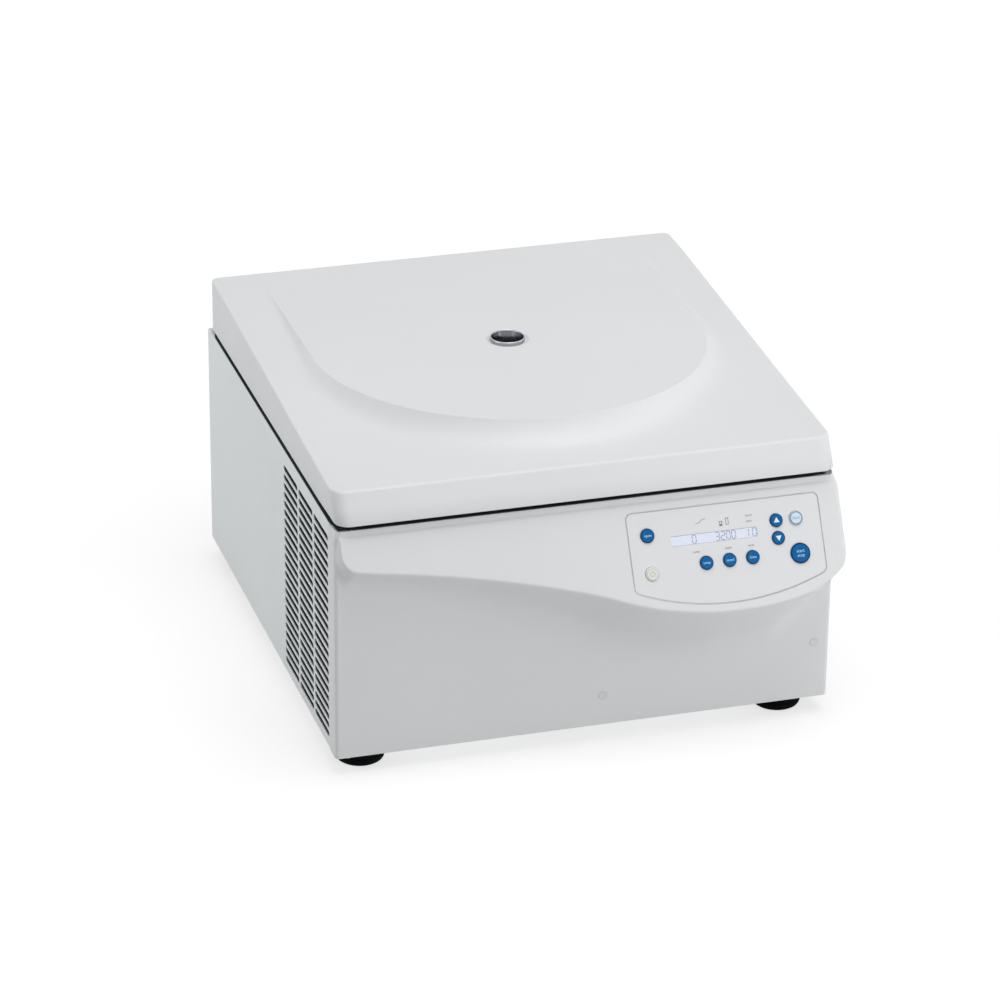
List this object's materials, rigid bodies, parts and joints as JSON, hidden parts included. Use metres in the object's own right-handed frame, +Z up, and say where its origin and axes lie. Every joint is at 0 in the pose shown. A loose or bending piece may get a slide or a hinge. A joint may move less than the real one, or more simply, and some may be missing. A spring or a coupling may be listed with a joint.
{
  "type": "microplate centrifuge",
  "caption": "Bench-top plate centrifuge: boxy vented housing, sloping front console with keys and display, hinged lid with a sight glass over a swing-out plate rotor.",
  "frame": {"origin": "on the floor, under the middle of the overall box", "axes": "+Z up, front with its control panel faces -Y, +X to the right seen from the front"},
  "size_m": [0.535, 0.6121, 0.3398],
  "materials": {
    "housing_paint": "satin light grey powder coat",
    "housing_moulding": "satin light grey moulding, finely textured",
    "panel_film": "matt light grey overlay",
    "zinc_steel": "zinc-plated sheet",
    "stainless": "brushed stainless steel",
    "cast_aluminium": "machined and anodised aluminium",
    "armour_steel": "grey primer on thick steel",
    "rubber_black": "matt black rubber",
    "plastic_black": "black moulded plastic",
    "key_blue": "deep blue, slightly domed keys",
    "key_pale": "white key with a pale blue ring",
    "key_ivory": "ivory key with a raised ring",
    "plug_grey": "light grey plug",
    "display_glass": "clear display lens",
    "sight_glass": "toughened clear glass",
    "display_face": "pale blue backlit display",
    "chrome_trim": "polished chrome",
    "circuit_green": "green circuit board with its parts",
    "copper_core": "lacquered laminations and winding"
  },
  "bodies": {
    "housing": {"base_plate": "zinc_steel", "chamber_gasket": "rubber_black", "control_board": "circuit_green", "control_overlay": "panel_film", "deck_plate": "zinc_steel", "display_lens": "display_glass", "display_module": "display_face", "fan_frame": "plastic_black", "fan_guard": "stainless", "fan_screws": "zinc_steel", "feet": "rubber_black", "front_panel": "housing_moulding", "front_plugs": "plug_grey", "guard_posts": "zinc_steel", "guard_ring": "armour_steel", "hinge_brackets": "zinc_steel", "latch_brackets": "zinc_steel", "latch_motor": "plastic_black", "left_side_panel": "housing_paint", "mains_inlet": "plastic_black", "mains_transformer": "copper_core", "motor_bearings": "stainless", "motor_dampers": "rubber_black", "motor_housing": "cast_aluminium", "motor_stator": "copper_core", "power_board": "circuit_green", "rear_panel": "housing_paint", "rear_screws": "zinc_steel", "right_side_panel": "housing_paint", "rotor_chamber": "stainless", "shaft_seal": "rubber_black", "switch_frame": "plastic_black"},
    "rotor": {"motor_shaft": "stainless", "motor_magnet": "armour_steel", "rotor_head": "cast_aluminium", "trunnion_pins": "stainless", "rotor_nut": "cast_aluminium"},
    "lid": {"lid_shell": "housing_moulding", "lid_liner": "stainless", "window_ring": "chrome_trim", "viewing_glass": "sight_glass", "hinge_arms": "zinc_steel", "hinge_pins": "stainless", "latch_strikers": "zinc_steel"},
    "latch": {"latch_shaft": "stainless", "latch_hooks": "zinc_steel"},
    "plate_carrier_a": {"plate_carrier_a": "cast_aluminium"},
    "plate_carrier_b": {"plate_carrier_b": "cast_aluminium"},
    "fan_rotor": {"fan_rotor": "plastic_black"},
    "power_rocker": {"power_rocker": "plastic_black"},
    "key_open": {"key_open": "key_blue"},
    "key_power": {"key_power": "key_ivory"},
    "key_left": {"key_left": "key_blue"},
    "key_middle": {"key_middle": "key_blue"},
    "key_right": {"key_right": "key_blue"},
    "key_up": {"key_up": "key_blue"},
    "key_down": {"key_down": "key_blue"},
    "key_short": {"key_short": "key_pale"},
    "key_start": {"key_start": "key_blue"}
  },
  "joints": [
    {"name": "lid_hinge", "type": "hinge", "parent": "housing", "child": "lid", "pos_m": [0, 0.2808, 0.294], "axis": [-1, 0, 0], "range_deg": [0, 78]},
    {"name": "rotor_spin", "type": "hinge", "parent": "housing", "child": "rotor", "pos_m": [0, 0.0428, 0.212], "axis": [0, 0, 1], "continuous": true},
    {"name": "carrier_a_swing", "type": "hinge", "parent": "rotor", "child": "plate_carrier_a", "pos_m": [0.095, 0.0428, 0.212], "axis": [0, -1, 0], "range_deg": [0, 90]},
    {"name": "carrier_b_swing", "type": "hinge", "parent": "rotor", "child": "plate_carrier_b", "pos_m": [-0.095, 0.0428, 0.212], "axis": [0, 1, 0], "range_deg": [0, 90]},
    {"name": "latch_turn", "type": "hinge", "parent": "housing", "child": "latch", "pos_m": [0, -0.1982, 0.238], "axis": [1, 0, 0], "range_deg": [0, 30]},
    {"name": "fan_spin", "type": "hinge", "parent": "housing", "child": "fan_rotor", "pos_m": [0.13, 0.2878, 0.104], "axis": [0, 1, 0], "continuous": true},
    {"name": "power_rock", "type": "hinge", "parent": "housing", "child": "power_rocker", "pos_m": [-0.14, 0.2958, 0.074], "axis": [-1, 0, 0], "range_deg": [0, 16]},
    {"name": "key_open_press", "type": "slide", "parent": "housing", "child": "key_open", "axis": [0, 0.8771, -0.4802], "range_m": [0, 0.0008], "stiffness_N_per_m": 600},
    {"name": "key_power_press", "type": "slide", "parent": "housing", "child": "key_power", "axis": [0, 0.8771, -0.4802], "range_m": [0, 0.0008], "stiffness_N_per_m": 600},
    {"name": "key_left_press", "type": "slide", "parent": "housing", "child": "key_left", "axis": [0, 0.8771, -0.4802], "range_m": [0, 0.0008], "stiffness_N_per_m": 600},
    {"name": "key_middle_press", "type": "slide", "parent": "housing", "child": "key_middle", "axis": [0, 0.8771, -0.4802], "range_m": [0, 0.0008], "stiffness_N_per_m": 600},
    {"name": "key_right_press", "type": "slide", "parent": "housing", "child": "key_right", "axis": [0, 0.8771, -0.4802], "range_m": [0, 0.0008], "stiffness_N_per_m": 600},
    {"name": "key_up_press", "type": "slide", "parent": "housing", "child": "key_up", "axis": [0, 0.8771, -0.4802], "range_m": [0, 0.0008], "stiffness_N_per_m": 600},
    {"name": "key_down_press", "type": "slide", "parent": "housing", "child": "key_down", "axis": [0, 0.8771, -0.4802], "range_m": [0, 0.0008], "stiffness_N_per_m": 600},
    {"name": "key_short_press", "type": "slide", "parent": "housing", "child": "key_short", "axis": [0, 0.8771, -0.4802], "range_m": [0, 0.0008], "stiffness_N_per_m": 600},
    {"name": "key_start_press", "type": "slide", "parent": "housing", "child": "key_start", "axis": [0, 0.8771, -0.4802], "range_m": [0, 0.0008], "stiffness_N_per_m": 600}
  ]
}
